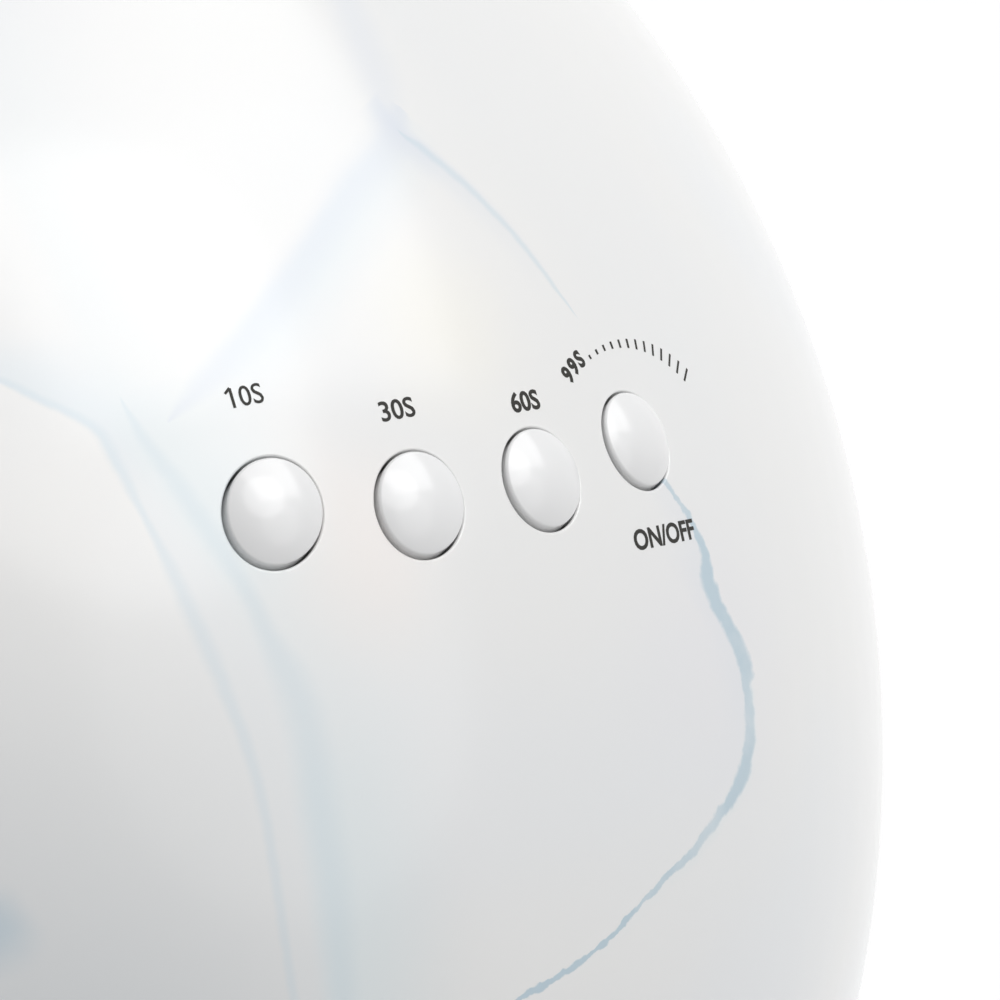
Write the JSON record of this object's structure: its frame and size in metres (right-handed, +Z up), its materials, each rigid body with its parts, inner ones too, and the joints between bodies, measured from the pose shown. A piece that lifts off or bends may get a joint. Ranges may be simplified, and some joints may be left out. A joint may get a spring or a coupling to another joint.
{
  "type": "led nail lamp",
  "caption": "Egg shaped nail curing lamp with a row of round press buttons, an open hand space lined with lamps, and a lift-off magnetic base tray.",
  "frame": {"origin": "on the table, under the middle of the lamp's bounding box", "axes": "+Z up; the hand opening faces -Y and the power jack +Y; +X is the user's right"},
  "size_m": [0.2022, 0.2036, 0.096],
  "materials": {
    "pearl_shell": "gloss",
    "white_button": "gloss",
    "white_tray": "satin",
    "white_frame": "satin",
    "mirror_foil": "polished",
    "magnet_nickel": "satin",
    "foot_rubber": "matte",
    "screw_steel": "satin",
    "silver_liner": "gloss",
    "led_board_white": "satin",
    "led_lens": "polished",
    "sensor_lens": "gloss",
    "board_green": "satin",
    "black_plastic": "satin",
    "display_body": "satin",
    "connector_ivory": "satin",
    "cable_grey": "satin",
    "capacitor_sleeve": "gloss",
    "choke_winding": "satin"
  },
  "bodies": {
    "base": {"base_tray": "white_tray", "mirror_sheet": "mirror_foil", "tray_magnets": "magnet_nickel", "tray_feet": "foot_rubber"},
    "lamp": {"top_shell": "pearl_shell", "base_frame": "white_frame", "frame_magnets": "magnet_nickel", "frame_screws": "screw_steel", "reflector_liner": "silver_liner", "ceiling_led_board": "led_board_white", "left_led_board": "led_board_white", "right_led_board": "led_board_white", "back_led_board": "led_board_white", "ceiling_leds": "led_lens", "left_leds": "led_lens", "right_leds": "led_lens", "back_leds": "led_lens", "led_board_screws": "screw_steel", "hand_sensor": "sensor_lens", "control_board": "board_green", "control_screws": "screw_steel", "controller_chip": "black_plastic", "switch_housings": "black_plastic", "display_module": "display_body", "display_mask": "black_plastic", "board_connectors": "connector_ivory", "left_cable": "cable_grey", "right_cable": "cable_grey", "back_cable": "cable_grey", "control_cable": "cable_grey", "power_cable": "cable_grey", "power_board": "board_green", "power_screws": "screw_steel", "power_jack": "black_plastic", "capacitors": "capacitor_sleeve", "choke": "choke_winding"},
    "key_10s": {"button_10s": "white_button", "plunger_10s": "display_body"},
    "key_30s": {"button_30s": "white_button", "plunger_30s": "display_body"},
    "key_60s": {"button_60s": "white_button", "plunger_60s": "display_body"},
    "key_99s": {"button_99s": "white_button", "plunger_99s": "display_body"}
  },
  "joints": [
    {"name": "lamp_lift", "type": "slide", "parent": "base", "child": "lamp", "axis": [0, 0, 1], "range_m": [0, 0.08]},
    {"name": "press_10s", "type": "slide", "parent": "lamp", "child": "key_10s", "axis": [0, 0, -1], "range_m": [0, 0.0005], "stiffness_N_per_m": 2000},
    {"name": "press_30s", "type": "slide", "parent": "lamp", "child": "key_30s", "axis": [0, 0, -1], "range_m": [0, 0.0005], "stiffness_N_per_m": 2000},
    {"name": "press_60s", "type": "slide", "parent": "lamp", "child": "key_60s", "axis": [0, 0, -1], "range_m": [0, 0.0005], "stiffness_N_per_m": 2000},
    {"name": "press_99s", "type": "slide", "parent": "lamp", "child": "key_99s", "axis": [0, 0, -1], "range_m": [0, 0.0005], "stiffness_N_per_m": 2000}
  ]
}
